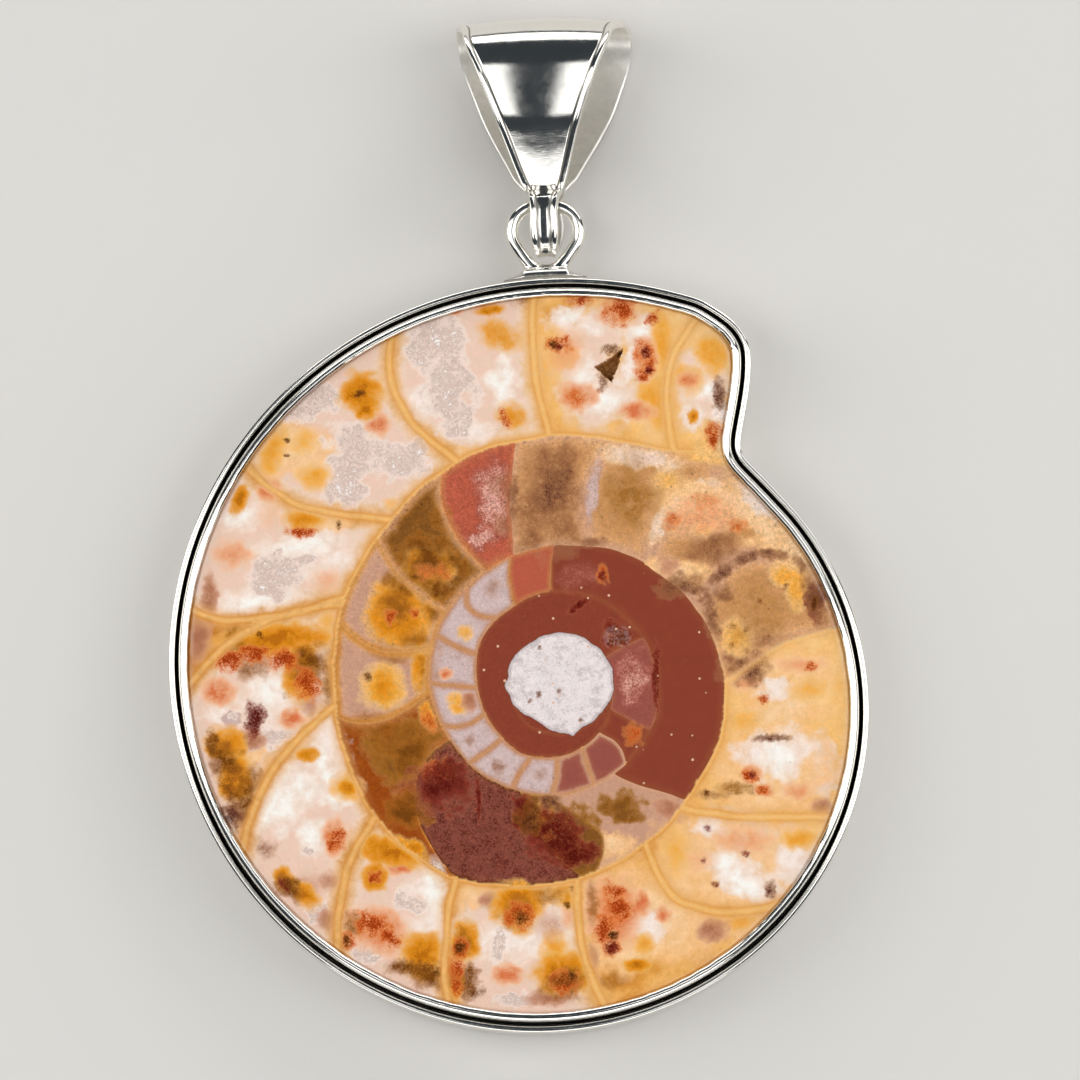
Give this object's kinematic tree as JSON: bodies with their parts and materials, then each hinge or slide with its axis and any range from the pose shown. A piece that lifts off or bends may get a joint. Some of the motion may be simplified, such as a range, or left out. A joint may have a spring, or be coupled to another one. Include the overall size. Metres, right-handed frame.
{
  "type": "ammonite pendant",
  "caption": "Polished slice of a coiled fossil ammonite in a spiral-shaped silver bezel setting, with a wire loop and a wide folded bail that swings and takes a neck chain.",
  "frame": {"origin": "middle of the underside of the object's box, on the surface that the pendant lies on", "axes": "+X to the pendant's right and +Y towards the bail, as seen when worn; +Z out of its polished face"},
  "size_m": [0.042, 0.0612, 0.0068],
  "materials": {
    "silver": "polished sterling silver",
    "agatised_shell": "polished, translucent, honey, white and red-brown"
  },
  "bodies": {
    "pendant": {"outer_frame": "silver", "bezel_strip": "silver", "ammonite_slice": "agatised_shell", "hanging_loop": "silver"},
    "bail": {"bail": "silver"}
  },
  "joints": [
    {"name": "bail_swing", "type": "hinge", "parent": "pendant", "child": "bail", "pos_m": [0.0016, 0.01928, 0.0028], "axis": [1, 0, 0], "range_deg": [-120, 120]}
  ]
}
